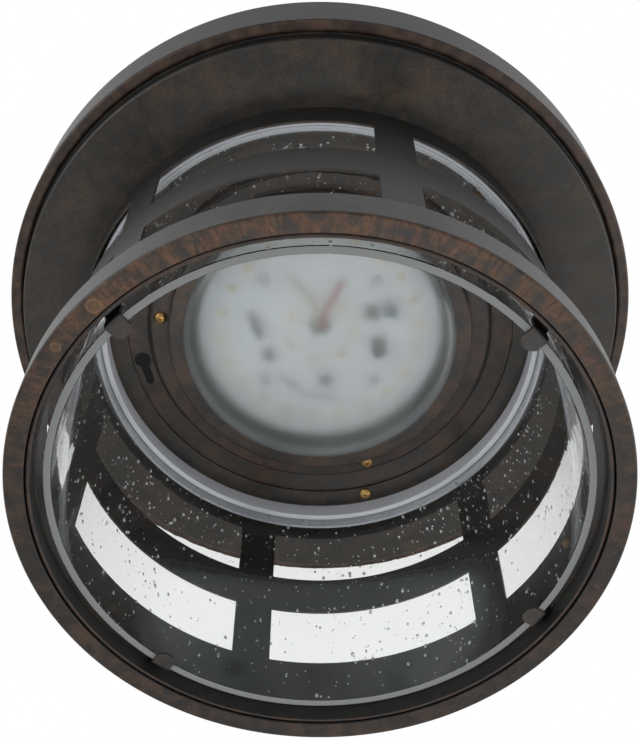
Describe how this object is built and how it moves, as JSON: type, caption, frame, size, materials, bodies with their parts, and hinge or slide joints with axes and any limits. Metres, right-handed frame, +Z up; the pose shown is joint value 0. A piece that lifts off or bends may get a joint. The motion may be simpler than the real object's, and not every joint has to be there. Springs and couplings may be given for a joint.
{
  "type": "outdoor flush mount ceiling light",
  "caption": "Outdoor flush mount ceiling light with a wide pressed canopy, a windowed metal cage round seeded glass, an open bottom ring and a domed LED diffuser.",
  "frame": {"origin": "centre of the canopy's ceiling rim, in the plane of the ceiling", "axes": "+Z up into the ceiling, so the light hangs along -Z; -Y is the side nearest to the picture's viewer"},
  "size_m": [0.3324, 0.3324, 0.2026],
  "materials": {
    "bronze_paint": "dark bronze with brushed copper tones, clear coated",
    "seeded_glass": "clear glass with small seeds",
    "clear_silicone": "translucent, smooth",
    "opal_plastic": "milky, satin",
    "white_silicone": "matte",
    "grey_silicone": "matte",
    "brass": "plain, slightly aged",
    "zinc_steel": "zinc plated",
    "board_white": "white solder mask",
    "led_yellow": "phosphor yellow",
    "black_part": "moulded",
    "brown_part": "moulded",
    "blue_grey_part": "dipped",
    "grey_part": "coated",
    "black_rubber": "matte",
    "red_insulation": "smooth",
    "cream_insulation": "smooth",
    "green_insulation": "smooth",
    "solder": "bright",
    "white_plastic": "moulded",
    "green_paint": "gloss"
  },
  "bodies": {
    "root": {"canopy": "bronze_paint", "cage_band": "bronze_paint", "ring_hoop": "bronze_paint", "bottom_ring": "bronze_paint", "glass_cylinder": "seeded_glass", "glass_gasket": "clear_silicone", "mounting_pan": "bronze_paint", "canopy_screws": "brass", "canopy_nuts": "zinc_steel", "diffuser_ring": "bronze_paint", "diffuser_screws": "brass", "diffuser": "opal_plastic", "diffuser_seal": "white_silicone", "thermal_pad": "grey_silicone", "led_board": "board_white", "led_chips": "led_yellow", "board_screws": "zinc_steel", "driver_chips": "black_part", "bridge_rectifier": "brown_part", "smoothing_capacitor": "black_part", "surge_varistor": "blue_grey_part", "fuse_resistor": "grey_part", "board_resistors": "black_part", "wire_grommet": "black_rubber", "live_wire": "red_insulation", "neutral_wire": "cream_insulation", "solder_joints": "solder", "terminal_block": "white_plastic", "terminal_sleeves": "brass", "terminal_screws": "zinc_steel", "block_screws": "zinc_steel", "ground_stud": "zinc_steel", "ground_nut": "green_paint", "ground_wire": "green_insulation"}
  },
  "joints": []
}
